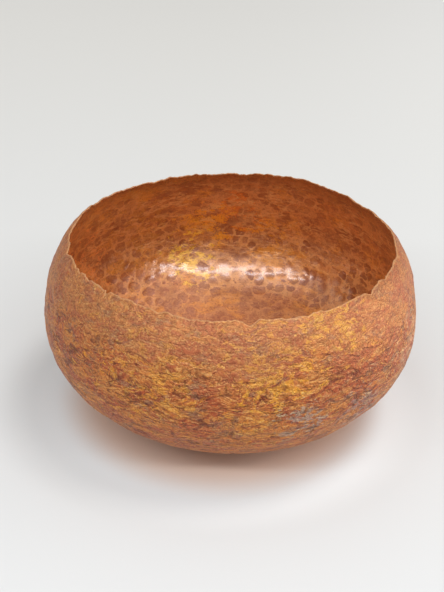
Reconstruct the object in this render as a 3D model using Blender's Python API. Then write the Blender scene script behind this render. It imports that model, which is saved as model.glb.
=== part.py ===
"""Deep round copper bowl, raised by hammer from one disc of sheet.

The wall rises from a small flat, swells to a wide belly, turns in to a smaller mouth and ends in
the sheet's own raw edge, which rises, falls and is nicked. Lengths are metres and +Z is up. The
origin is the centre of the flat underside.
"""

import math

import bmesh
import bpy
from mathutils import Vector
from mathutils.geometry import interpolate_bezier

# Driving dimensions, all on the outside surface
BELLY_RADIUS = 0.150
BELLY_HEIGHT = 0.086
MOUTH_RADIUS = 0.127
RIM_HEIGHT = 0.149
BASE_RADIUS = 0.055
SHEET_THICKNESS = 0.0012

# Bend of the wall: how far each of the profile's two curves holds its first and last direction
BASE_HOLD = 0.018
BELLY_HOLD_BELOW = 0.060
BELLY_HOLD_ABOVE = 0.022
MOUTH_HOLD = 0.016
MOUTH_LEAN = math.radians(57)  # from upright, inwards

# Slow swells of the raw edge: waves around the mouth, height, degrees at which one peaks
EDGE_SWELLS = (
    (1, 0.0004, -26),
    (2, 0.0006, 24),
    (4, 0.0005, -20),
    (5, 0.0005, -5),
    (6, 0.0004, -4),
)

# Nicks in the raw edge: degrees, depth down the wall, half width in degrees
EDGE_NICKS = (
    (-165, 0.0030, 5.0),
    (-132, 0.0030, 3.5),
    (-84, 0.0030, 4.5),
    (-39, 0.0015, 4.5),
    (97, 0.0015, 4.0),
    (113, 0.0015, 4.0),
)
EDGE_FADE = 5  # how closely the edge's ups and downs keep to the top of the wall

# Mesh density
SEGMENTS = 120
BASE_RINGS = 2
LOWER_RINGS = 8
UPPER_RINGS = 6

COPPER_COLOUR = (0.66, 0.33, 0.17, 1.0)
COPPER_ROUGHNESS = 0.42


def clear_scene():
    for old in list(bpy.data.objects):
        bpy.data.objects.remove(old, do_unlink=True)


def profile():
    """Outside half-section as (radius, 0, height), and the wall's direction down from the mouth."""
    base_edge = Vector((BASE_RADIUS, 0, 0))
    belly = Vector((BELLY_RADIUS, 0, BELLY_HEIGHT))
    mouth = Vector((MOUTH_RADIUS, 0, RIM_HEIGHT))
    down_the_wall = Vector((math.sin(MOUTH_LEAN), 0, -math.cos(MOUTH_LEAN)))
    flat = [base_edge * ring / BASE_RINGS for ring in range(1, BASE_RINGS)]
    lower = interpolate_bezier(
        base_edge,
        base_edge + Vector((BASE_HOLD, 0, 0)),
        belly - Vector((0, 0, BELLY_HOLD_BELOW)),
        belly,
        LOWER_RINGS + 1,
    )
    upper = interpolate_bezier(
        belly,
        belly + Vector((0, 0, BELLY_HOLD_ABOVE)),
        mouth + down_the_wall * MOUTH_HOLD,
        mouth,
        UPPER_RINGS + 1,
    )
    return flat + lower + upper[1:], down_the_wall


def edge_swell(degrees):
    """How far the raw edge stands above its mean height at one place around the mouth."""
    return sum(
        height * math.cos(math.radians(waves * (degrees - peak)))
        for waves, height, peak in EDGE_SWELLS
    )


def edge_nick(degrees):
    """How far the raw edge is cut back down the wall at one place around the mouth."""
    cut = 0.0
    for place, depth, half_width in EDGE_NICKS:
        away = abs((degrees - place + 180) % 360 - 180)
        cut += depth * max(0.0, 1 - away / half_width)
    return cut


def outside_mesh(name):
    """The outside surface as an open mesh whose faces point outwards."""
    section, down_the_wall = profile()
    bm = bmesh.new()
    centre = bm.verts.new((0, 0, 0))
    columns = []
    for step in range(SEGMENTS):
        degrees = 360 * step / SEGMENTS
        outward = Vector((math.cos(math.radians(degrees)), math.sin(math.radians(degrees)), 0))
        at_edge = Vector((0, 0, edge_swell(degrees))) + down_the_wall * edge_nick(degrees)
        column = []
        for point in section:
            climb = max(0.0, (point.z - BELLY_HEIGHT) / (RIM_HEIGHT - BELLY_HEIGHT))
            moved = point + at_edge * climb**EDGE_FADE
            column.append(bm.verts.new(outward * moved.x + Vector((0, 0, moved.z))))
        columns.append(column)
    for here, after in zip(columns, columns[1:] + columns[:1]):
        bm.faces.new((centre, after[0], here[0]))
        for low, high in zip(range(len(section) - 1), range(1, len(section))):
            bm.faces.new((here[low], after[low], after[high], here[high]))
    mesh = bpy.data.meshes.new(name)
    bm.to_mesh(mesh)
    bm.free()
    mesh.shade_smooth()
    return mesh


def copper():
    material = bpy.data.materials.new("hammered_copper")
    material.use_nodes = True
    shader = material.node_tree.nodes["Principled BSDF"]
    shader.inputs["Base Color"].default_value = COPPER_COLOUR
    shader.inputs["Metallic"].default_value = 1.0
    shader.inputs["Roughness"].default_value = COPPER_ROUGHNESS
    return material


def bowl_shell():
    """The whole bowl: its outside surface thickened inwards to the sheet's thickness."""
    shell = bpy.data.objects.new("bowl_shell", outside_mesh("bowl_shell"))
    bpy.context.collection.objects.link(shell)
    shell.data.materials.append(copper())
    wall = shell.modifiers.new("sheet", "SOLIDIFY")
    wall.thickness = SHEET_THICKNESS
    wall.offset = -1
    wall.use_even_offset = True
    wall.use_rim = True
    return shell


clear_scene()
bowl_shell()
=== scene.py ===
"""Hammered copper bowl: the finished look of the raised shell, with its floor, light and camera.

The bowl is one sheet. Geometry Nodes turn its half-section into a thin closed shell, lay a course
of hammer blows over the inside, fold and crease the outside, and tear the edge. One procedural
material colours both faces, heat stains included, with some light and shade painted into its
colours; the floor has painted light round and under the bowl. Lengths are metres and +Z is up.
"""

from __future__ import annotations

import logging
import math
from dataclasses import dataclass
from enum import Enum
from typing import Callable, Union

import bpy
from mathutils import Matrix, Vector

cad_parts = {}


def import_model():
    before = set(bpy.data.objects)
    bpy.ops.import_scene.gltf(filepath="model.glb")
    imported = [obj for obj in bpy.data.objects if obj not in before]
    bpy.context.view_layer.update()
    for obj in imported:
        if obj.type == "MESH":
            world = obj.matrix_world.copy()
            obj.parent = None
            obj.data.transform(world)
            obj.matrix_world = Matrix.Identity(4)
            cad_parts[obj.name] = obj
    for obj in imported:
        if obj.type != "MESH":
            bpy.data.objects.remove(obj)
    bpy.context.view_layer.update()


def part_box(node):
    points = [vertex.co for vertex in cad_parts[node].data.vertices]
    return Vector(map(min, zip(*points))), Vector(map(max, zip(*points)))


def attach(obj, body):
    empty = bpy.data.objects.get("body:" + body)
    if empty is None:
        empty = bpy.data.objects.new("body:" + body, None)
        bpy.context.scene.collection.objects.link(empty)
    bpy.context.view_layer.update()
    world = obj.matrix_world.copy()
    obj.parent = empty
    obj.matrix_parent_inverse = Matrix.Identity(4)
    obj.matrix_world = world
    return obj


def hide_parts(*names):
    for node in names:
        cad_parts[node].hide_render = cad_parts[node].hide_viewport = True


LOG = logging.getLogger("hammered_bowl")
MILLIMETRE = 0.001

Colour = tuple[float, float, float]
Place = tuple[float, float, float]
Span = tuple[float, float]


def swatch(red: int, green: int, blue: int) -> Colour:
    """Scene-linear colour of a swatch that a colour picker shows in 0 to 255 steps."""
    steps = (red / 255, green / 255, blue / 255)
    return tuple(s / 12.92 if s <= 0.04045 else ((s + 0.055) / 1.055) ** 2.4 for s in steps)


def worked_out(operation: str, swapped: bool = False) -> Callable[[Wire, Number], Wire]:
    """An arithmetic method for wires. Swapped, it is for a wire on the right of the sign."""

    def method(wire: Wire, other: Number) -> Wire:
        """The wire and another value, worked out by a Math node."""
        return wire.graph.math(operation, *((other, wire) if swapped else (wire, other)))

    return method


class Wire:
    """A node's output. Arithmetic on it adds the Math nodes that work it out."""

    def __init__(self, graph: Graph, socket: bpy.types.NodeSocket) -> None:
        """Keeps the socket with the graph that new nodes go into."""
        self.graph = graph
        self.socket = socket

    __add__ = worked_out("ADD")
    __radd__ = worked_out("ADD", swapped=True)
    __sub__ = worked_out("SUBTRACT")
    __rsub__ = worked_out("SUBTRACT", swapped=True)
    __mul__ = worked_out("MULTIPLY")
    __rmul__ = worked_out("MULTIPLY", swapped=True)
    __truediv__ = worked_out("DIVIDE")
    __pow__ = worked_out("POWER")

    def __neg__(self) -> Wire:
        """The value with its sign changed."""
        return self.graph.math("MULTIPLY", self, -1.0)

    def __abs__(self) -> Wire:
        """The value without its sign."""
        return self.graph.math("ABSOLUTE", self)


Number = Union[Wire, float, int]
Feed = Union[Wire, float, int, bool, str, tuple, bpy.types.Material]
Surface = tuple[Wire, Wire, Wire]


class Graph:
    """A node tree that is written as expressions, for shading and for geometry alike."""

    def __init__(self, tree: bpy.types.NodeTree) -> None:
        """Starts writing into a tree."""
        self.tree = tree

    def node(self, kind: str, settings: dict | None = None, feeds: dict | None = None) -> bpy.types.Node:
        """Adds one node.

        Args:
            kind: The node's type.
            settings: Its properties, such as a Math node's operation, set first.
            feeds: A value or wire for each socket, by name or by number among those in use.

        Returns:
            The node.
        """
        made = self.tree.nodes.new(kind)
        for name, value in (settings or {}).items():
            setattr(made, name, value)
        for key, value in (feeds or {}).items():
            self._feed(self._socket(made.inputs, key), value)
        return made

    def out(self, node: bpy.types.Node, key: str | int = 0) -> Wire:
        """A wire from one of a node's outputs, by name or by number among those in use."""
        return Wire(self, self._socket(node.outputs, key))

    def get(self, kind: str, settings: dict | None = None, feeds: dict | None = None,
            key: str | int = 0) -> Wire:
        """Adds one node, as node() does, and returns a wire from its output."""
        return self.out(self.node(kind, settings, feeds), key)

    def math(self, operation: str, *values: Number) -> Wire:
        """A Math node on numbers."""
        return self.get("ShaderNodeMath", {"operation": operation}, dict(enumerate(values)))

    def vector(self, operation: str, *values: Feed, key: str | int = 0) -> Wire:
        """A Vector Math node on vectors."""
        return self.get("ShaderNodeVectorMath", {"operation": operation}, dict(enumerate(values)), key)

    def scaled(self, vector: Feed, factor: Number) -> Wire:
        """A vector times a number."""
        return self.get("ShaderNodeVectorMath", {"operation": "SCALE"}, {0: vector, "Scale": factor})

    def parts(self, vector: Wire) -> tuple[Wire, Wire, Wire]:
        """A vector's three numbers."""
        split = self.node("ShaderNodeSeparateXYZ", feeds={0: vector})
        return self.out(split, 0), self.out(split, 1), self.out(split, 2)

    def joined(self, x: Number, y: Number, z: Number) -> Wire:
        """A vector made of three numbers."""
        return self.get("ShaderNodeCombineXYZ", feeds={0: x, 1: y, 2: z})

    def smooth(self, value: Number, start: float, end: float) -> Wire:
        """0 up to start and 1 past end, with a soft step between. An end under start falls instead."""
        low, high = min(start, end), max(start, end)
        rising = self.get(
            "ShaderNodeMapRange",
            {"interpolation_type": "SMOOTHSTEP"},
            {"Value": value, "From Min": low, "From Max": high},
        )
        return rising if start < end else 1.0 - rising

    def lesser(self, first: Number, second: Number) -> Wire:
        """The smaller of two numbers."""
        return self.math("MINIMUM", first, second)

    def greater(self, first: Number, second: Number) -> Wire:
        """The larger of two numbers."""
        return self.math("MAXIMUM", first, second)

    def tint(self, factor: Number, under: Feed, over: Feed, blend: str = "MIX") -> Wire:
        """A colour laid over another by a factor."""
        settings = {"data_type": "RGBA", "blend_type": blend}
        return self.get("ShaderNodeMix", settings, {0: factor, 1: as_colour(under), 2: as_colour(over)})

    def noise(self, at: Feed, per_metre: float, detail: float = 3.0, rough: float = 0.55,
              key: str | int = 0) -> Wire:
        """Cloudy noise from 0 to 1, with so many blots to the metre."""
        feeds = {"Vector": at, "Scale": per_metre, "Detail": detail, "Roughness": rough}
        return self.get("ShaderNodeTexNoise", {"noise_dimensions": "3D"}, feeds, key)

    def shaken(self, at: Wire, per_metre: float, reach: float, detail: float = 2.0) -> Wire:
        """A place moved about by noise, up to about half the reach each way."""
        cloud = self.noise(at, per_metre, detail, key="Color")
        centred = self.vector("SUBTRACT", cloud, (0.5, 0.5, 0.5))
        return self.vector("ADD", at, self.scaled(centred, reach))

    def _socket(self, sockets: bpy.types.bpy_prop_collection, key: str | int) -> bpy.types.NodeSocket:
        """The socket in use that has this name or number."""
        used = [socket for socket in sockets if socket.enabled]
        return used[key] if isinstance(key, int) else next(s for s in used if s.name == key)

    def _feed(self, socket: bpy.types.NodeSocket, value: Feed) -> None:
        """Links a wire to a socket, or sets its value."""
        if isinstance(value, Wire):
            self.tree.links.new(value.socket, socket)
        else:
            socket.default_value = value


def as_colour(value: Feed) -> Feed:
    """A plain colour with its fourth value, as a colour socket wants it; wires are left as they are."""
    return (*value, 1.0) if isinstance(value, tuple) and len(value) == 3 else value


def placed(name: str, data: bpy.types.ID) -> bpy.types.Object:
    """A new object in the scene, made of a mesh, a curve, a lamp or a camera."""
    made = bpy.data.objects.new(name, data)
    bpy.context.collection.objects.link(made)
    return made


class Face(Enum):
    """The two faces of the sheet, by the sign that points out of the bowl."""

    OUTSIDE = 1.0
    INSIDE = -1.0


class Mark(Enum):
    """What the shell's mesh says about each of its points, for the material to read."""

    FACE = "face"
    REACH = "reach"
    OUTWARD = "outward"
    FULLNESS = "fullness"
    EDGE = "edge"


@dataclass(frozen=True)
class Bark:
    """The outside's skin: short wrinkles that lie round the bowl, like old bark.

    Attributes:
        stretch: Under 1, the wrinkles are drawn out round the bowl.
        folds_per_metre: How many broad folds there are up the wall.
        wrinkles_per_metre: How many fine wrinkles lie on them.
    """

    stretch: float = 0.60
    folds_per_metre: float = 64.0
    wrinkles_per_metre: float = 140.0

    def place(self, graph: Graph, x: Wire, y: Wire, reach: Wire) -> Wire:
        """Where a point so far across and up the wall lies on the skin, shaken so wrinkles wander."""
        return graph.shaken(graph.joined(x * self.stretch, y * self.stretch, reach), 60.0, 0.014, 3.0)

    def folds(self, graph: Graph, skin: Wire) -> Wire:
        """The broad folds' height at a place on the skin, from 0 to 1."""
        return graph.noise(skin, self.folds_per_metre, 2.0, 0.55)

    def wrinkles(self, graph: Graph, skin: Wire) -> Wire:
        """The fine wrinkles' height at a place on the skin, from 0 to 1."""
        ridge = 1.0 - abs(graph.noise(skin, self.wrinkles_per_metre, 4.0, 0.6) * 2.0 - 1.0) * 2.2
        return ridge * 0.55 + graph.noise(skin, self.wrinkles_per_metre * 1.7, 4.0, 0.65) * 0.9


@dataclass(frozen=True)
class Blows:
    """The hammer's blows all over the inside: shallow dents that crowd one another.

    Attributes:
        across: A dent's usual width.
        flatness: Over 1, dents are lower than they are wide.
        disorder: 0 sets the blows in straight rows, 1 leaves them to chance.
    """

    across: float = 0.0104
    flatness: float = 1.25
    disorder: float = 0.80

    def struck(self, graph: Graph, place: Wire) -> tuple[Wire, Wire]:
        """The dent that a point of the bowl lies in.

        Args:
            graph: The node tree.
            place: The point.

        Returns:
            How far inside its dent the point is, from 0 on the ridge to about 0.6 in the middle, and
            the dent's own number from 0 to 1.
        """
        squeezed = graph.vector("MULTIPLY", place, (1.0, 1.0, self.flatness))
        ragged = graph.shaken(squeezed, 130.0, 0.007)
        feeds = {"Vector": ragged, "Scale": 1.0 / self.across, "Randomness": self.disorder}
        cell = graph.node("ShaderNodeTexVoronoi", {"feature": "F1"}, feeds)
        edge = graph.get("ShaderNodeTexVoronoi", {"feature": "DISTANCE_TO_EDGE"}, feeds)
        rounded = edge + (0.5 - graph.out(cell, "Distance")) * 0.6
        return rounded, graph.parts(graph.out(cell, "Color"))[0]


@dataclass(frozen=True)
class Nick:
    """A notch in the raw edge.

    Attributes:
        degrees: Where it is, counted from +X towards +Y.
        depth: How far it is cut down the wall.
        half_width: Half its width along the edge.
    """

    degrees: float
    depth: float
    half_width: float


@dataclass(frozen=True)
class Swell:
    """A slow rise and fall of the raw edge: its waves around the mouth, height and a peak's degrees."""

    waves: int
    height: float
    peak: float


@dataclass
class HalfSection:
    """The bowl's outside half-section, from the centre of its base to its mouth.

    Attributes:
        belly_radius: Outside radius at the widest level.
        belly_height: That level.
        mouth_radius: Outside radius at the edge.
        rim_height: The edge's mean level.
        base_radius: Radius of the flat underneath.
        base_hold, belly_hold_below, belly_hold_above, mouth_hold: How far the curve keeps its
            direction at each of its ends.
        mouth_lean: The wall's lean at the edge, inwards from upright, in degrees.
        spare: How far the curve goes on past the edge, for the edge's highest points.
    """

    belly_radius: float
    belly_height: float = 0.086
    mouth_radius: float = 0.127
    rim_height: float = 0.149
    base_radius: float = 0.055
    base_hold: float = 0.018
    belly_hold_below: float = 0.060
    belly_hold_above: float = 0.022
    mouth_hold: float = 0.016
    mouth_lean: float = 57.0
    spare: float = 0.004

    def curve(self, name: str) -> bpy.types.Object:
        """Draws the half-section.

        Args:
            name: The new object's name.

        Returns:
            A curve object in the plane of X and Z.
        """
        lean = math.radians(self.mouth_lean)
        up_the_wall = Vector((-math.sin(lean), 0.0, math.cos(lean)))
        centre = Vector()
        base_edge = Vector((self.base_radius, 0.0, 0.0))
        belly = Vector((self.belly_radius, 0.0, self.belly_height))
        mouth = Vector((self.mouth_radius, 0.0, self.rim_height))
        past = mouth + up_the_wall * self.spare
        along = Vector((1.0, 0.0, 0.0))
        up = Vector((0.0, 0.0, 1.0))
        flat, straight = along * 0.01, up_the_wall * 0.001
        knots = (
            (centre, flat, flat),
            (base_edge, flat, along * self.base_hold),
            (belly, up * self.belly_hold_below, up * self.belly_hold_above),
            (mouth, up_the_wall * self.mouth_hold, straight),
            (past, straight, straight),
        )
        data = bpy.data.curves.new(name, "CURVE")
        data.dimensions = "3D"
        data.resolution_u = 64
        spline = data.splines.new("BEZIER")
        spline.bezier_points.add(len(knots) - 1)
        for point, (place, before, after) in zip(spline.bezier_points, knots):
            point.handle_left_type = "FREE"
            point.handle_right_type = "FREE"
            point.co = place
            point.handle_left = place - before
            point.handle_right = place + after
        return placed(name, data)


@dataclass
class RaisedShell:
    """The bowl's sheet of copper: raised, hammered inside, creased outside and torn at the edge.

    Attributes:
        section: The outside half-section.
        sheet: The sheet's thickness.
        rings: Rings of faces on each face of the sheet, from the centre to the edge.
        crowding: Under 1, the rings stand closer together up the wall than in the base.
        blows: The hammer's blows, inside.
        dent_depth: Depth of the shallow hollow that each blow leaves.
        bark: The outside's skin.
        fold_depth: Height of the outside's folds.
        lump_depth: Height of the slow unevenness of the whole sheet.
        swells, nicks, raggedness: Of the raw edge.
        seed: For everything that is left to chance.
    """

    section: HalfSection
    sheet: float = 0.0012
    rings: int = 106
    crowding: float = 0.82
    blows: Blows = Blows()
    dent_depth: float = 0.00042
    bark: Bark = Bark()
    fold_depth: float = 0.0026
    lump_depth: float = 0.0011
    swells: tuple[Swell, ...] = (
        Swell(1, 0.0004, -26),
        Swell(2, 0.0006, 24),
        Swell(4, 0.0005, -20),
        Swell(5, 0.0005, -5),
        Swell(6, 0.0004, -4),
    )
    nicks: tuple[Nick, ...] = (
        Nick(-165, 0.0030, 0.0100),
        Nick(-149, 0.0012, 0.0050),
        Nick(-133, 0.0050, 0.0018),
        Nick(-113, 0.0010, 0.0050),
        Nick(-84, 0.0032, 0.0050),
        Nick(-60, 0.0009, 0.0080),
        Nick(-39, 0.0022, 0.0045),
        Nick(-28, 0.0018, 0.0050),
        Nick(-12, 0.0022, 0.0090),
        Nick(84, 0.0016, 0.0060),
        Nick(97, 0.0018, 0.0060),
        Nick(113, 0.0018, 0.0070),
        Nick(133, 0.0018, 0.0060),
        Nick(164, 0.0022, 0.0070),
    )
    raggedness: float = 0.0068
    seed: int = 11

    def build(self, finish: bpy.types.Material) -> bpy.types.Object:
        """Makes the shell as one closed mesh.

        Args:
            finish: The material that the tree sets.

        Returns:
            The mesh object, at the origin.
        """
        section = self.section.curve("half_section")
        tree = self._tree()
        modifier = section.modifiers.new("raise", "NODES")
        modifier.node_group = tree
        sizes = {
            "Sheet": self.sheet,
            "Dent Depth": self.dent_depth,
            "Fold Depth": self.fold_depth,
            "Lump Depth": self.lump_depth,
            "Chance": float(self.seed),
            "Finish": finish,
        }
        for item in tree.interface.items_tree:
            if item.item_type == "SOCKET" and item.in_out == "INPUT" and item.name in sizes:
                modifier[item.identifier] = sizes[item.name]
        seen = section.evaluated_get(bpy.context.evaluated_depsgraph_get())
        mesh = bpy.data.meshes.new_from_object(seen)
        mesh.name = "hammered_bowl"
        bpy.data.objects.remove(section, do_unlink=True)
        return placed("hammered_bowl", mesh)

    def _tree(self) -> bpy.types.NodeTree:
        """The Geometry Nodes tree that turns the half-section into the shell."""
        tree = bpy.data.node_groups.new("raise_the_bowl", "GeometryNodeTree")
        tree.is_modifier = True
        tree.interface.new_socket("Geometry", in_out="OUTPUT", socket_type="NodeSocketGeometry")
        tree.interface.new_socket("Section", in_out="INPUT", socket_type="NodeSocketGeometry")
        for name in ("Sheet", "Dent Depth", "Fold Depth", "Lump Depth", "Chance"):
            tree.interface.new_socket(name, in_out="INPUT", socket_type="NodeSocketFloat")
        tree.interface.new_socket("Finish", in_out="INPUT", socket_type="NodeSocketMaterial")
        graph = Graph(tree)
        given = graph.node("NodeGroupInput")
        size = {socket.name: Wire(graph, socket) for socket in given.outputs if socket.name}
        length = graph.get("GeometryNodeCurveLength", feeds={0: size["Section"]}) - self.section.spare
        smooth_shell = self._formed(graph, size, length)
        hammered = self._hammered(graph, size, length, smooth_shell)
        closed = graph.get(
            "GeometryNodeMergeByDistance", feeds={"Geometry": hammered, "Distance": 0.01 * MILLIMETRE}
        )
        shaded = graph.get("GeometryNodeSetShadeSmooth", feeds={"Geometry": closed, "Shade Smooth": True})
        real = graph.get("GeometryNodeRealizeInstances", feeds={"Geometry": shaded})
        dressed = graph.get("GeometryNodeSetMaterial", feeds={"Geometry": real, "Material": size["Finish"]})
        graph.node("NodeGroupOutput", feeds={0: dressed})
        return tree

    def _formed(self, graph: Graph, size: dict[str, Wire], length: Wire) -> Wire:
        """Both faces of the sheet on the bowl's form, with the raw edge torn.

        A square net is wrapped so that its squares become rings. The net has no pole and no seam,
        and its last three rings turn round the edge's thickness.

        Args:
            graph: The node tree.
            size: The tree's inputs.
            length: Length of the half-section up to the mean edge.

        Returns:
            The two nets, not yet merged along the edge.
        """
        count = 2 * self.rings + 1
        feeds = {"Size X": 2.0, "Size Y": 2.0, "Vertices X": count, "Vertices Y": count}
        net = graph.get("GeometryNodeMeshGrid", feeds=feeds)
        turned = graph.get("GeometryNodeFlipFaces", feeds={0: net})
        nets = graph.node("GeometryNodeJoinGeometry")
        for mesh, face in ((turned, Face.OUTSIDE), (net, Face.INSIDE)):
            marked = self._store(graph, mesh, Mark.FACE, face.value)
            graph.tree.links.new(marked.socket, nets.inputs[0])
        side = self._read(graph, Mark.FACE)
        across, along, _ = graph.parts(graph.get("GeometryNodeInputPosition"))
        wide = graph.math("GREATER_THAN", abs(across), abs(along) - 1e-6)
        turn_wide = along / across * (math.pi / 4) + graph.math("LESS_THAN", across, 0.0) * math.pi
        turn_tall = math.pi / 2 - across / along * (math.pi / 4)
        turn_tall = turn_tall + graph.math("LESS_THAN", along, 0.0) * math.pi
        angle = turn_wide * wide + turn_tall * (1.0 - wide)
        ring = graph.greater(abs(across), abs(along)) * self.rings
        east, north = graph.math("COSINE", angle), graph.math("SINE", angle)

        lip = size["Sheet"] * 0.5
        round_the_lip = graph.greater(ring - (self.rings - 2), 0.0) * (math.pi / 4)
        up_wall = graph.lesser(ring / (self.rings - 2), 1.0) ** self.crowding
        reach = (length - lip) * up_wall + lip * graph.math("SINE", round_the_lip)
        fullness = graph.math("COSINE", round_the_lip)
        near_edge = graph.smooth(length - reach, 0.014, 0.0)
        torn = reach - self._torn(graph, east, north) * near_edge
        point, outward = self._on_section(graph, size["Section"], torn)
        inset = size["Sheet"] * 0.5 * (1.0 - side * fullness)
        radius, _, height = graph.parts(graph.vector("SUBTRACT", point, graph.scaled(outward, inset)))
        up_share = graph.smooth(length - reach, 0.040, 0.0)
        height = height + self._swollen(graph, east, north) * up_share
        place = graph.joined(radius * east, radius * north, height)
        out_flat, _, out_up = graph.parts(outward)
        out = graph.joined(out_flat * east, out_flat * north, out_up)
        kept = self._store(graph, graph.out(nets), Mark.REACH, reach)
        kept = self._store(graph, kept, Mark.OUTWARD, out, "FLOAT_VECTOR")
        kept = self._store(graph, kept, Mark.FULLNESS, fullness)
        kept = self._store(graph, kept, Mark.EDGE, graph.smooth(length - reach, 0.0030, 0.0))
        return graph.get("GeometryNodeSetPosition", feeds={"Geometry": kept, "Position": place})

    def _torn(self, graph: Graph, east: Wire, north: Wire) -> Wire:
        """How far the raw edge is cut back down the wall, all around: nicks, chips and small teeth."""
        mouth = self.section.mouth_radius
        cut: Number = 0.0
        for nick in self.nicks:
            turn = math.radians(nick.degrees)
            facing = east * math.cos(turn) + north * math.sin(turn)
            away = graph.greater(2.0 - facing * 2.0, 0.0) ** 0.5 * mouth
            cut = graph.greater(1.0 - away / nick.half_width, 0.0) * nick.depth + cut
        edge = graph.joined(east * mouth, north * mouth, 0.37)
        teeth = (graph.noise(edge, 120.0, 3.0, 0.6) - 0.5) * 0.0028
        steps = graph.smooth(graph.noise(edge, 75.0, 1.0), 0.54, 0.58) * 0.0008
        waves = (graph.noise(edge, 32.0, 1.0) - 0.5) * 0.0034
        return cut + teeth + steps + waves

    def _swollen(self, graph: Graph, east: Wire, north: Wire) -> Wire:
        """How far the raw edge stands above its mean height, all around."""
        angle = graph.math("ARCTAN2", north, east)
        rise: Number = 0.0
        for swell in self.swells:
            turn = angle * swell.waves - math.radians(swell.waves * swell.peak)
            rise = graph.math("COSINE", turn) * swell.height + rise
        edge = graph.joined(east * self.section.mouth_radius, north * self.section.mouth_radius, 0.71)
        ragged = (graph.noise(edge, 64.0, 3.0, 0.65) - 0.5) * self.raggedness
        return rise + ragged

    def _on_section(self, graph: Graph, section: Wire, reach: Wire) -> tuple[Wire, Wire]:
        """The half-section's point and outward direction at a length along it."""
        sample = graph.node(
            "GeometryNodeSampleCurve", {"mode": "LENGTH"}, {"Curves": section, "Length": reach}
        )
        forward, _, upward = graph.parts(graph.out(sample, "Tangent"))
        return graph.out(sample, "Position"), graph.joined(upward, 0.0, -forward)

    def _hammered(self, graph: Graph, size: dict[str, Wire], length: Wire, shell: Wire) -> Wire:
        """The shell with its dents inside, its folds outside and the unevenness of the whole sheet.

        Args:
            graph: The node tree.
            size: The tree's inputs.
            length: Length of the half-section up to the mean edge.
            shell: The smooth shell.

        Returns:
            The shell in relief.
        """
        place = graph.get("GeometryNodeInputPosition")
        side = self._read(graph, Mark.FACE)
        reach = self._read(graph, Mark.REACH)
        fullness = self._read(graph, Mark.FULLNESS)
        outside = graph.greater(side, 0.0)

        within, number = self.blows.struck(graph, place)
        dents = graph.smooth(within, 0.0, 0.50) * size["Dent Depth"] * (number * 0.8 + 0.5)

        x, y, _ = graph.parts(place)
        skin = self.bark.place(graph, x, y, reach)
        folds = self.bark.folds(graph, skin) - 0.5 + (self.bark.wrinkles(graph, skin) - 0.9) * 0.22
        calm = graph.smooth(length - reach, 0.004, 0.045) * 0.75 + 0.25
        off_base = graph.smooth(reach, self.section.base_radius + 0.004, self.section.base_radius + 0.040)
        crumple = folds * size["Fold Depth"] * calm * off_base
        under = (1.0 - off_base) * graph.noise(place, 90.0, 2.0) * size["Fold Depth"] * 0.12

        drifted = graph.vector("ADD", place, graph.joined(size["Chance"], size["Chance"], size["Chance"]))
        lumps = (graph.noise(drifted, 24.0, 1.0) - 0.5) * 2.0 * size["Lump Depth"]
        relief = lumps * off_base + fullness * (
            outside * (crumple - under) + (1.0 - outside) * (dents - 0.3 * size["Dent Depth"])
        )
        push = graph.scaled(self._read(graph, Mark.OUTWARD, "FLOAT_VECTOR"), relief)
        return graph.get("GeometryNodeSetPosition", feeds={"Geometry": shell, "Offset": push})

    def _store(self, graph: Graph, mesh: Wire, mark: Mark, value: Feed, kind: str = "FLOAT") -> Wire:
        """The mesh with a value kept on each of its points."""
        settings = {"data_type": kind, "domain": "POINT"}
        feeds = {"Geometry": mesh, "Name": mark.value, "Value": value}
        return graph.get("GeometryNodeStoreNamedAttribute", settings, feeds)

    def _read(self, graph: Graph, mark: Mark, kind: str = "FLOAT") -> Wire:
        """A value kept on the mesh's points."""
        return graph.get("GeometryNodeInputNamedAttribute", {"data_type": kind}, {"Name": mark.value})


def read_mark(graph: Graph, mark: Mark) -> Wire:
    """A value that the shell's mesh carries, as its material reads it."""
    return graph.get("ShaderNodeAttribute", {"attribute_name": mark.value}, key="Fac")


@dataclass(frozen=True)
class HeatBloom:
    """A place where the torch coloured the copper.

    Attributes:
        place: The middle of the bloom.
        reach: How far it spreads.
        colour: What colour the copper turned.
        strength: How much of the metal it covers, from 0 to 1.
        cover: Where in the noise it begins, and where it is full.
    """

    place: Place
    reach: float
    colour: Colour
    strength: float
    cover: Span = (0.62, 0.68)

    def over(self, graph: Graph, place: Wire, under: Wire, ragged: Wire) -> Wire:
        """A colour with this bloom laid over it, its border broken up.

        Args:
            graph: The node tree.
            place: The point on the bowl.
            under: The colour below.
            ragged: Noise from 0 to 1 that frays the bloom.

        Returns:
            The colour.
        """
        away = graph.vector("DISTANCE", place, self.place, key="Value")
        near = graph.smooth(away, self.reach, self.reach * 0.2)
        cover = graph.smooth(near * 0.14 + ragged, *self.cover) * graph.smooth(near, 0.0, 0.3)
        return graph.tint(cover * self.strength, under, self.colour)


@dataclass(frozen=True)
class Blot:
    """A colour that lies all over the outside in cloudy patches.

    Attributes:
        per_metre: How many patches there are to the metre.
        shift: Sets this colour's noise apart from the others'.
        cover: Where in the noise a patch begins, and where it is full.
        colour: What it lays on the metal.
        strength: How much of the metal it covers, from 0 to 1.
    """

    per_metre: float
    shift: float
    cover: Span
    colour: Colour
    strength: float

    def over(self, graph: Graph, skin: Wire, under: Feed, fray: Wire) -> Wire:
        """A colour with these patches laid over it.

        Args:
            graph: The node tree.
            skin: The place on the skin.
            under: The colour below.
            fray: What breaks up the patches' borders.

        Returns:
            The colour.
        """
        moved = graph.vector("ADD", skin, (self.shift, self.shift * 0.5, 1.0 - self.shift))
        cloud = graph.noise(moved, self.per_metre, 5.0, 0.62)
        cover = graph.smooth(cloud + fray * 0.5, *self.cover)
        return graph.tint(cover * self.strength, under, self.colour)


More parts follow.
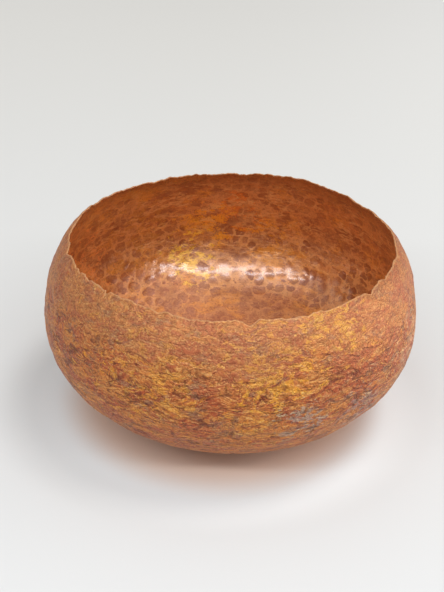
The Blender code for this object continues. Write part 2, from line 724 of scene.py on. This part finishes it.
@dataclass(frozen=True)
class CreasedOutside:
    """The outside's finish: matt copper, mottled by heat and creased, with painted light and painted shade
    on its creases, a paler foot of painted bounce light, and a bare edge that also carries a painted
    highlight.

    Attributes:
        tan, rust, plum, gold, ochre, pale, calm, bare_edge_and_painted_highlight: Its colours; the last is
        the bare raw edge, which also paints the lip's thin highlight.
        sheen, shade: The painted highlight that a crease adds on its upper side, and the painted shade that
            it keeps on its lower side; they also lighten and darken the fine specks.
        metal: How bare the metal is under its film of oxide.
        roughness: Its usual roughness.
        bark: The skin, the same as the shell's.
        blots: The colours that lie all over it, the lowest first.
        blooms: Where the heat left its strongest colours.
        rim_zone, painted_bounce_zone: How far up the wall the calm band under the edge and the paler foot,
            painted light bounced up from the floor, begin, and where each is full.
        threads_per_metre, specks_per_metre: Of its finest grain.
        tears_per_metre, cracks_per_metre, hairs_per_metre: Of its long, short and hair-thin creases.
        flecks_per_metre: Of its golden flecks.
        lit_above, hair_lit_above: How far over a wrinkle and a hair-thin crease its painted light edge
            lies.
        wrinkle_height, tear_depth, hair_depth, thread_height, speck_height: Of its finest relief.
    """

    tan: Colour = swatch(202, 118, 48)
    rust: Colour = swatch(178, 82, 38)
    plum: Colour = swatch(150, 92, 66)
    gold: Colour = swatch(240, 166, 40)
    ochre: Colour = swatch(220, 136, 32)
    pale: Colour = swatch(228, 158, 90)
    calm: Colour = swatch(178, 118, 80)
    bare_edge_and_painted_highlight: Colour = swatch(226, 172, 118)
    sheen: Colour = (0.36, 0.25, 0.09)
    shade: Colour = (0.36, 0.26, 0.19)
    metal: float = 0.5
    roughness: float = 0.46
    bark: Bark = Bark()
    blots: tuple[Blot, ...] = (
        Blot(70.0, 0.1, (0.46, 0.52), rust, 1.0),
        Blot(110.0, 0.5, (0.55, 0.62), plum, 0.8),
        Blot(90.0, 0.9, (0.52, 0.60), tan, 0.7),
    )
    blooms: tuple[HeatBloom, ...] = (
        HeatBloom((0.066, -0.108, 0.140), 0.042, swatch(240, 170, 40), 0.9),
        HeatBloom((0.030, -0.135, 0.118), 0.060, swatch(236, 162, 42), 0.7),
        HeatBloom((-0.050, -0.135, 0.105), 0.060, swatch(232, 158, 42), 0.5),
        HeatBloom((0.020, -0.145, 0.075), 0.060, swatch(232, 156, 42), 0.35),
        HeatBloom((-0.020, -0.140, 0.040), 0.060, swatch(184, 98, 66), 0.7),
        HeatBloom((0.050, -0.139, 0.074), 0.030, swatch(160, 142, 136), 0.7),
        HeatBloom((0.095, -0.108, 0.070), 0.034, swatch(150, 140, 140), 0.5),
        HeatBloom((0.135, -0.050, 0.075), 0.070, swatch(212, 164, 124), 0.5),
        HeatBloom((0.070, 0.120, 0.110), 0.060, swatch(236, 162, 42), 0.7),
        HeatBloom((-0.085, 0.115, 0.075), 0.060, swatch(232, 158, 42), 0.7),
        HeatBloom((-0.125, 0.050, 0.045), 0.045, swatch(150, 140, 140), 0.6),
    )
    rim_zone: Span = (0.208, 0.246)
    painted_bounce_zone: Span = (0.155, 0.085)
    threads_per_metre: float = 420.0
    specks_per_metre: float = 800.0
    tears_per_metre: float = 75.0
    cracks_per_metre: float = 125.0
    hairs_per_metre: float = 300.0
    flecks_per_metre: float = 170.0
    lit_above: float = 0.0007
    hair_lit_above: float = 0.0009
    wrinkle_height: float = 0.0011
    tear_depth: float = 0.0004
    hair_depth: float = 0.0003
    thread_height: float = 0.00040
    speck_height: float = 0.00016

    def surface(self, graph: Graph, place: Wire, reach: Wire) -> Surface:
        """What the finish says of a point.

        Args:
            graph: The node tree.
            place: The point on the bowl.
            reach: Its distance up the wall from the centre of the base.

        Returns:
            Its colour, roughness and fine relief.
        """
        x, y, _ = graph.parts(place)
        skin = self.bark.place(graph, x, y, reach)
        near_rim = graph.smooth(reach + (graph.noise(place, 22.0, 2.0) - 0.5) * 0.05, *self.rim_zone)
        threads = graph.noise(skin, self.threads_per_metre, 4.0, 0.7)
        speck = graph.noise(place, self.specks_per_metre, 3.0, 0.65)
        fray = (threads - 0.5) * 0.5 + (speck - 0.5) * 0.3
        wrinkles = self.bark.wrinkles(graph, skin)
        # Painted light and shade: the wrinkles less the same wrinkles looked up a little higher are high on
        # each wrinkle's upper side and low on its lower side, as light from above would fall.
        above = self.bark.wrinkles(graph, graph.vector("ADD", skin, (0.0, 0.0, self.lit_above)))
        lit = (wrinkles - above) * (1.0 - near_rim * 0.4)
        torn = self._torn(graph, place, skin) * (1.0 - near_rim * 0.7)
        hair = self._hairs(graph, skin, 0.0)
        hair_lit = self._hairs(graph, skin, self.hair_lit_above)

        colour = self._mottled(graph, place, skin, threads, fray)
        combed = graph.noise(graph.joined(x, y, reach * 0.12), self.threads_per_metre)
        colour = graph.tint(near_rim * 0.45, colour, self.calm)
        colour = graph.tint(graph.smooth(combed, 0.55, 0.75) * near_rim * 0.5, colour, self.pale)
        colour = graph.tint(graph.smooth(combed, 0.45, 0.25) * near_rim * 0.4, colour, self.rust)
        # Painted light: the foot of the outside is made paler, standing in for light bounced up from the
        # floor.
        colour = graph.tint(graph.smooth(reach, *self.painted_bounce_zone) * 0.56, colour, self.pale)
        # Painted highlight on the upper sides of wrinkles and hair-thin creases, with fine lighter specks
        # of grain.
        light = graph.smooth(lit, 0.02, 0.18) * 0.56 + hair_lit * 0.24
        light = light + graph.smooth(speck, 0.54, 0.70) * 0.45
        # Painted shade under the wrinkles and in the torn and hair-thin creases, with fine darker specks of
        # grain.
        dark = graph.smooth(lit, -0.01, -0.18) * 0.45 + hair * 0.36 + torn * 0.60
        dark = dark + graph.smooth(speck, 0.50, 0.32) * 0.45
        colour = graph.tint(graph.lesser(light, 1.0), colour, self.sheen, "SCREEN")
        colour = graph.tint(graph.lesser(dark, 1.0), colour, self.shade, "MULTIPLY")
        # Paler bare metal along the raw edge, which also paints the thin highlight on the lip.
        edge_wear_and_painted_highlight = graph.smooth(read_mark(graph, Mark.EDGE) + fray, 0.45, 0.95)
        colour = graph.tint(edge_wear_and_painted_highlight * 0.50, colour, self.bare_edge_and_painted_highlight)

        roughness = self.roughness + (threads - 0.5) * 0.3 + near_rim * 0.12
        creases = wrinkles * self.wrinkle_height - torn * self.tear_depth - hair * self.hair_depth
        height = creases * (1.0 - near_rim * 0.7)
        height = height + threads * self.thread_height + speck * self.speck_height
        return colour, roughness, height

    def _mottled(self, graph: Graph, place: Wire, skin: Wire, threads: Wire, fray: Wire) -> Wire:
        """The metal's colour under its creases: patches, golden flecks and heat blooms.

        Args:
            graph: The node tree.
            place: The point on the bowl.
            skin: The same point on the skin.
            threads: The fine grain along the skin.
            fray: What breaks up the borders of the colours.

        Returns:
            The colour.
        """
        colour: Feed = self.tan
        for blot in self.blots:
            colour = blot.over(graph, skin, colour, fray)
        zone = graph.smooth(graph.noise(place, 16.0, 2.0), 0.42, 0.62) * 0.10
        moved = graph.vector("ADD", skin, (0.9, 0.5, 0.2))
        flecks = graph.noise(moved, self.flecks_per_metre, 4.0, 0.70) + fray * 0.4
        gilt = graph.tint(graph.smooth(threads, 0.35, 0.65), self.ochre, self.gold)
        colour = graph.tint(graph.smooth(flecks + zone, 0.66, 0.78) * 0.75, colour, gilt)
        for bloom in self.blooms:
            colour = bloom.over(graph, place, colour, flecks)
        return colour

    def _torn(self, graph: Graph, place: Wire, skin: Wire) -> Wire:
        """Where torn creases run, from 0 to 1: long ones in some places and short ones in others."""
        drawn = graph.vector("MULTIPLY", skin, (0.6, 0.6, 1.0))
        long_line = abs(graph.noise(drawn, self.tears_per_metre, 2.5, 0.55) - 0.5)
        short_line = abs(graph.noise(skin, self.cracks_per_metre, 3.0, 0.6) - 0.5)
        region = graph.noise(place, 75.0, 2.0)
        tears = graph.smooth(long_line, 0.045, 0.012) * graph.smooth(region, 0.47, 0.56)
        cracks = graph.smooth(short_line, 0.026, 0.006) * graph.smooth(region, 0.50, 0.40)
        return graph.greater(tears, cracks * 0.8)

    def _hairs(self, graph: Graph, skin: Wire, up: float) -> Wire:
        """Where hair-thin creases run, from 0 to 1, looked up so far above a place on the skin."""
        shifted = graph.vector("ADD", skin, (0.0, 0.0, up))
        line = abs(graph.noise(shifted, self.hairs_per_metre, 2.0, 0.5) - 0.5)
        return graph.smooth(line, 0.065, 0.015)


@dataclass(frozen=True)
class DentedInside:
    """The inside's finish: bright copper, coloured by heat, with a darker spot in each dent, painted shade
    on its upper wall and a painted pool of reflected light on its left wall.

    Attributes:
        rose, ember, brown, dusk, upper_wall_painted_shade, amber, pale: Its colours; the fifth is painted
        shade laid on the upper wall.
        metal: How bare the metal is under its film of oxide.
        roughness: Its usual roughness.
        blows: The dents, the same as the shell's.
        blooms: Where the heat left its strongest colours; the first is instead a painted pool of reflected
            light on the left wall.
        stretch: Under 1, its stains and streaks are drawn out round the bowl.
        wall_zone, floor_zone, coat_zone, lip_zone: How far up the wall the painted shade of the upper wall,
        the dull floor, the lacquer and the brown lip begin, and where each is full.
        lay_height, speck_height, spot_depth, streak_height: Of its finest relief.
    """

    rose: Colour = swatch(228, 154, 90)
    ember: Colour = swatch(214, 122, 54)
    brown: Colour = swatch(136, 64, 28)
    dusk: Colour = swatch(166, 98, 62)
    upper_wall_painted_shade: Colour = swatch(176, 96, 32)
    amber: Colour = swatch(238, 150, 40)
    pale: Colour = swatch(228, 158, 90)
    metal: float = 0.35
    roughness: float = 0.40
    blows: Blows = Blows()
    blooms: tuple[HeatBloom, ...] = (
        # Painted light: a paler pool on the inner left wall, standing in for light reflected there, not a
        # heat colour.
        HeatBloom((-0.125, 0.045, 0.065), 0.085, swatch(244, 146, 72), 0.7),
        HeatBloom((0.000, 0.138, 0.095), 0.055, swatch(220, 112, 24), 0.8),
        HeatBloom((0.035, 0.134, 0.066), 0.045, swatch(236, 150, 40), 0.7),
        HeatBloom((-0.080, 0.115, 0.095), 0.055, swatch(196, 120, 40), 0.7),
        HeatBloom((-0.025, 0.135, 0.082), 0.050, swatch(240, 150, 30), 0.8),
        HeatBloom((-0.035, 0.130, 0.060), 0.042, swatch(252, 190, 60), 0.9),
    )
    stretch: float = 0.60
    wall_zone: Span = (0.155, 0.215)
    floor_zone: Span = (0.150, 0.105)
    coat_zone: Span = (0.122, 0.150)
    lip_zone: Span = (0.230, 0.252)
    lay_height: float = 0.00045
    speck_height: float = 0.00006
    spot_depth: float = 0.00012
    streak_height: float = 0.00010

    def surface(self, graph: Graph, place: Wire, reach: Wire) -> Surface:
        """What the finish says of a point.

        Args:
            graph: The node tree.
            place: The point on the bowl.
            reach: Its distance up the wall from the centre of the base.

        Returns:
            Its colour, roughness and fine relief.
        """
        x, y, _ = graph.parts(place)
        around = graph.joined(x * self.stretch, y * self.stretch, reach)
        high = graph.smooth(reach, *self.wall_zone)
        floor = graph.smooth(reach, *self.floor_zone)
        ragged = graph.noise(place, 150.0, 5.0, 0.65)
        speck = graph.noise(place, 700.0, 3.0, 0.6)
        within, number = self.blows.struck(graph, place)
        patchy = graph.smooth(graph.noise(place, 30.0, 3.0), 0.40, 0.56)
        spot = graph.smooth(within + (ragged - 0.5) * 0.55, 0.02, 0.16) * (number * 0.6 + 0.4)
        spot = spot * (patchy * 0.4 + 0.6)
        ridge = graph.smooth(within, 0.08, 0.0) * (1.0 - high) * (1.0 - floor * 0.5)
        streak = self._streaks(graph, around)

        blots = graph.noise(around, 30.0, 5.0, 0.6)
        colour = graph.tint(graph.smooth(blots, 0.38, 0.62) * 0.8, self.rose, self.ember)
        colour = graph.tint(spot * (0.90 - floor * 0.40), colour, self.brown)
        colour = graph.tint(floor * 0.62, colour, self.dusk)
        colour = graph.tint(ridge * 0.45, colour, self.pale)
        # Painted shade: the upper wall is darkened, standing in for the dark reflection of the bowl's own
        # inside that it carries.
        colour = graph.tint(high * 0.38, colour, self.upper_wall_painted_shade)
        flush = graph.smooth(graph.noise(around, 50.0, 6.0, 0.70), 0.50, 0.64)
        colour = graph.tint(flush * 0.55, colour, self.amber)
        moved = graph.vector("ADD", around, (0.4, 0.2, 0.1))
        cloud = graph.smooth(graph.noise(moved, 55.0, 5.0, 0.65), 0.50, 0.62)
        colour = graph.tint(cloud * (high * 0.25 + 0.40), colour, self.brown)
        frayed = graph.noise(around, 120.0, 5.0, 0.72)
        for bloom in self.blooms:
            colour = bloom.over(graph, place, colour, frayed)
        colour = graph.tint(streak * (0.15 + high * 0.55), colour, self.pale)
        colour = graph.tint(graph.smooth(reach, *self.lip_zone) * 0.45, colour, self.brown)
        grain = graph.noise(around, 420.0, 3.0, 0.7) * 0.5 + speck * 0.5
        colour = graph.tint(graph.smooth(grain, 0.50, 0.36) * 0.60, colour, self.brown)
        colour = graph.tint(graph.smooth(grain, 0.53, 0.66) * 0.50, colour, self.pale)

        roughness = self.roughness + (ragged - 0.5) * 0.25 - spot * 0.05 + floor * 0.2
        height = ragged * self.lay_height + speck * self.speck_height
        height = height - spot * self.spot_depth + streak * self.streak_height
        return colour, roughness, height

    def _streaks(self, graph: Graph, around: Wire) -> Wire:
        """Where thin light streaks run round the wall, from 0 to 1."""
        wisp = graph.shaken(graph.vector("MULTIPLY", around, (0.5, 0.5, 1.0)), 40.0, 0.012, 3.0)
        line = graph.smooth(abs(graph.noise(wisp, 110.0, 3.0, 0.6) - 0.5), 0.060, 0.010)
        return line * graph.smooth(graph.noise(around, 60.0, 2.0), 0.42, 0.56)


@dataclass(frozen=True)
class HeatedCopper:
    """The one material of both faces: hammered copper, coloured by heat, with some light and shade painted
    into its colours.

    Attributes:
        outside, inside: The two faces' finishes.
        gloss: The shader's constants: how strongly it mirrors, and its lacquer inside.
    """

    outside: CreasedOutside = CreasedOutside()
    inside: DentedInside = DentedInside()
    gloss: tuple[tuple[str, float], ...] = (
        ("IOR", 1.6),
        ("Coat Roughness", 0.19),
        ("Coat IOR", 1.65),
    )

    def material(self) -> bpy.types.Material:
        """Writes the material.

        Returns:
            A material with one Principled BSDF.
        """
        material = bpy.data.materials.new("heated_copper")
        material.use_nodes = True
        material.node_tree.nodes.clear()
        graph = Graph(material.node_tree)
        place = graph.get("ShaderNodeTexCoord", key="Object")
        reach = read_mark(graph, Mark.REACH)
        outside = graph.smooth(read_mark(graph, Mark.FACE), -0.2, 0.2)
        skin, skin_rough, skin_height = self.outside.surface(graph, place, reach)
        bright, bright_rough, bright_height = self.inside.surface(graph, place, reach)
        off_floor = graph.smooth(reach, *self.inside.coat_zone)
        bare = self.inside.metal * (off_floor * 0.6 + 0.4)
        height = self._between(bright_height, skin_height, outside)
        bump = graph.get("ShaderNodeBump", feeds={"Strength": 1.0, "Distance": 1.0, "Height": height})
        feeds = {
            "Base Color": graph.tint(outside, bright, skin),
            "Roughness": self._between(bright_rough, skin_rough, outside),
            "Metallic": self._between(bare, self.outside.metal, outside),
            "Normal": bump,
            "Coat Weight": (1.0 - outside) * off_floor,
        }
        shader = graph.node("ShaderNodeBsdfPrincipled", feeds={**feeds, **dict(self.gloss)})
        graph.node("ShaderNodeOutputMaterial", feeds={"Surface": graph.out(shader)})
        return material

    def _between(self, inside: Wire, outside: Number, share: Wire) -> Wire:
        """A number that goes from the inside's to the outside's by a share."""
        return inside + (outside - inside) * share


@dataclass(frozen=True)
class SoftBox:
    """A large soft lamp.

    Attributes:
        name: Its name.
        place: Where it hangs.
        aim: The point it faces.
        size: Its width and height.
        watts: Its power.
        colour: Of its light.
    """

    name: str
    place: Place
    aim: Place
    size: tuple[float, float]
    watts: float
    colour: Colour = (1.0, 1.0, 1.0)

    def hang(self) -> None:
        """Puts the lamp in the scene."""
        data = bpy.data.lights.new(self.name, "AREA")
        data.shape = "RECTANGLE"
        data.size, data.size_y = self.size
        data.energy = self.watts
        data.color = self.colour
        lamp = placed(self.name, data)
        lamp.location = self.place
        facing = Vector(self.aim) - Vector(self.place)
        lamp.rotation_euler = facing.to_track_quat("-Z", "Y").to_euler()


@dataclass(frozen=True)
class Studio:
    """The pale floor, the soft light and the camera round the bowl.

    Attributes:
        near_floor, far_floor, painted_light_right_floor: Colours of the paper, in front, behind and far
        right; the last is painted light, paler where the light from the right falls.
        painted_light_floor: Its colour round the bowl: painted light, paler so that the soft shadow stays
            small.
        painted_bounce_floor: Its colour close under the bowl, in the shadow: painted warm light standing in
            for the copper's glow bounced onto the paper.
        ring_centre: The middle of those two rounds.
        painted_light_ring, painted_bounce_ring: How far out each begins to show, and where it is full.
        half_floor, floor_level: Half the paper's width, and its height.
        sky: Colour and strength of the light from all round.
        sun_from, sun_strength, sun_spread: Of the one broad light high up, its spread in degrees.
        lamps: The soft lamps.
        watch_point: What the camera looks at, before it is panned.
        distance: From there to the camera.
        elevation, roll, pan, tilt: The camera's angles in degrees.
        lens: Focal length in millimetres on a 36 mm sensor.
    """

    near_floor: Colour = (0.67, 0.665, 0.655)
    far_floor: Colour = (0.74, 0.725, 0.69)
    painted_light_right_floor: Colour = (0.86, 0.85, 0.83)
    painted_light_floor: Colour = (0.82, 0.84, 0.84)
    painted_bounce_floor: Colour = (0.74, 0.58, 0.48)
    ring_centre: Place = (-0.006, 0.0, 0.0)
    painted_light_ring: Span = (0.180, 0.130)
    painted_bounce_ring: Span = (0.142, 0.104)
    half_floor: float = 6.0
    floor_level: float = -0.0004
    sky: tuple[Colour, float] = ((1.0, 1.0, 1.0), 0.58)
    sun_from: Place = (0.34, 0.02, 1.0)
    sun_strength: float = 0.9
    sun_spread: float = 20.0
    lamps: tuple[SoftBox, ...] = (
        SoftBox("front_strip", (0.0, -0.90, 1.10), (0.0, 0.1, 0.05), (3.0, 0.15), 16.0, (0.88, 0.95, 1.0)),
        SoftBox("right_window", (1.20, 0.05, 0.26), (0.0, 0.0, 0.06), (0.8, 0.4), 4.5),
    )
    watch_point: Place = (0.0, 0.0, 0.075)
    distance: float = 0.824
    elevation: float = 31.3
    roll: float = 1.70
    pan: float = 0.46
    tilt: float = 1.16
    lens: float = 60.8

    def lay_floor(self) -> None:
        """Lays a wide sheet of pale paper under the bowl, with painted light round it, painted warm bounce
        light under it and paler paper at the back right.
        """
        material = bpy.data.materials.new("pale_paper")
        material.use_nodes = True
        graph = Graph(material.node_tree)
        shader = material.node_tree.nodes["Principled BSDF"]
        place = graph.get("ShaderNodeTexCoord", key="Object")
        across, depth, _ = graph.parts(place)
        tone = graph.tint(graph.smooth(depth, -0.3, 1.2), self.near_floor, self.far_floor)
        # Painted light: the paper is paler towards the back right, where the light from the right falls.
        right = graph.smooth(across, -0.1, 0.9) * graph.smooth(depth, 0.1, 1.2)
        tone = graph.tint(right, tone, self.painted_light_right_floor)
        away = graph.vector("DISTANCE", place, self.ring_centre, key="Value")
        # Painted light: the paper is paler in a ring round the bowl, so that the shadow stays small.
        tone = graph.tint(graph.smooth(away, *self.painted_light_ring), tone, self.painted_light_floor)
        # Painted light: a warm tint under the bowl, standing in for the copper's glow bounced into its
        # shadow.
        tone = graph.tint(graph.smooth(away, *self.painted_bounce_ring), tone, self.painted_bounce_floor)
        graph.tree.links.new(tone.socket, shader.inputs["Base Color"])
        shader.inputs["Roughness"].default_value = 0.85
        sides = ((-1, -1), (1, -1), (1, 1), (-1, 1))
        corners = [(x * self.half_floor, y * self.half_floor, self.floor_level) for x, y in sides]
        mesh = bpy.data.meshes.new("floor")
        mesh.from_pydata(corners, [], [(0, 1, 2, 3)])
        mesh.materials.append(material)
        placed("floor", mesh)

    def light(self) -> None:
        """Lights the scene from all round and hangs the lamps."""
        world = bpy.data.worlds.new("studio_light")
        world.use_nodes = True
        colour, strength = self.sky
        background = world.node_tree.nodes["Background"]
        background.inputs["Color"].default_value = (*colour, 1.0)
        background.inputs["Strength"].default_value = strength
        bpy.context.scene.world = world
        bpy.context.scene.view_settings.view_transform = "Standard"
        high_window = bpy.data.lights.new("high_window", "SUN")
        high_window.energy = self.sun_strength
        high_window.angle = math.radians(self.sun_spread)
        window = placed("high_window", high_window)
        window.rotation_euler = (-Vector(self.sun_from)).to_track_quat("-Z", "Y").to_euler()
        for lamp in self.lamps:
            lamp.hang()

    def aim_camera(self) -> None:
        """Places the camera at the height and angle of a person looking down at the bowl."""
        data = bpy.data.cameras.new("camera")
        data.lens = self.lens
        data.sensor_width = 36.0
        data.clip_end = 50.0
        camera = placed("camera", data)
        rise = math.radians(self.elevation)
        offset = Vector((0.0, -math.cos(rise), math.sin(rise))) * self.distance
        back = offset.normalized()
        right = Vector((1.0, 0.0, 0.0))
        axes = Matrix((right, back.cross(right), back)).transposed()
        turn = Matrix.Rotation(math.radians(self.roll), 3, "Z")
        turn = turn @ Matrix.Rotation(math.radians(self.pan), 3, "Y")
        turn = turn @ Matrix.Rotation(math.radians(self.tilt), 3, "X")
        place = Matrix.Translation(Vector(self.watch_point) + offset)
        camera.matrix_world = place @ (axes @ turn).to_4x4()
        bpy.context.scene.camera = camera


def main() -> None:
    """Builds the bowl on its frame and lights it."""
    logging.basicConfig(level=logging.INFO, format="%(name)s: %(message)s")
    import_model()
    studio = Studio()
    studio.aim_camera()
    studio.lay_floor()
    studio.light()
    low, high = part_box("bowl_shell")
    section = HalfSection(belly_radius=(high[0] - low[0]) / 2)
    bowl = RaisedShell(section).build(HeatedCopper().material())
    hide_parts("bowl_shell")
    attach(bowl, "root")
    LOG.info("hammered_bowl: %d points, %d faces", len(bowl.data.vertices), len(bowl.data.polygons))


if __name__ == "__main__":
    main()
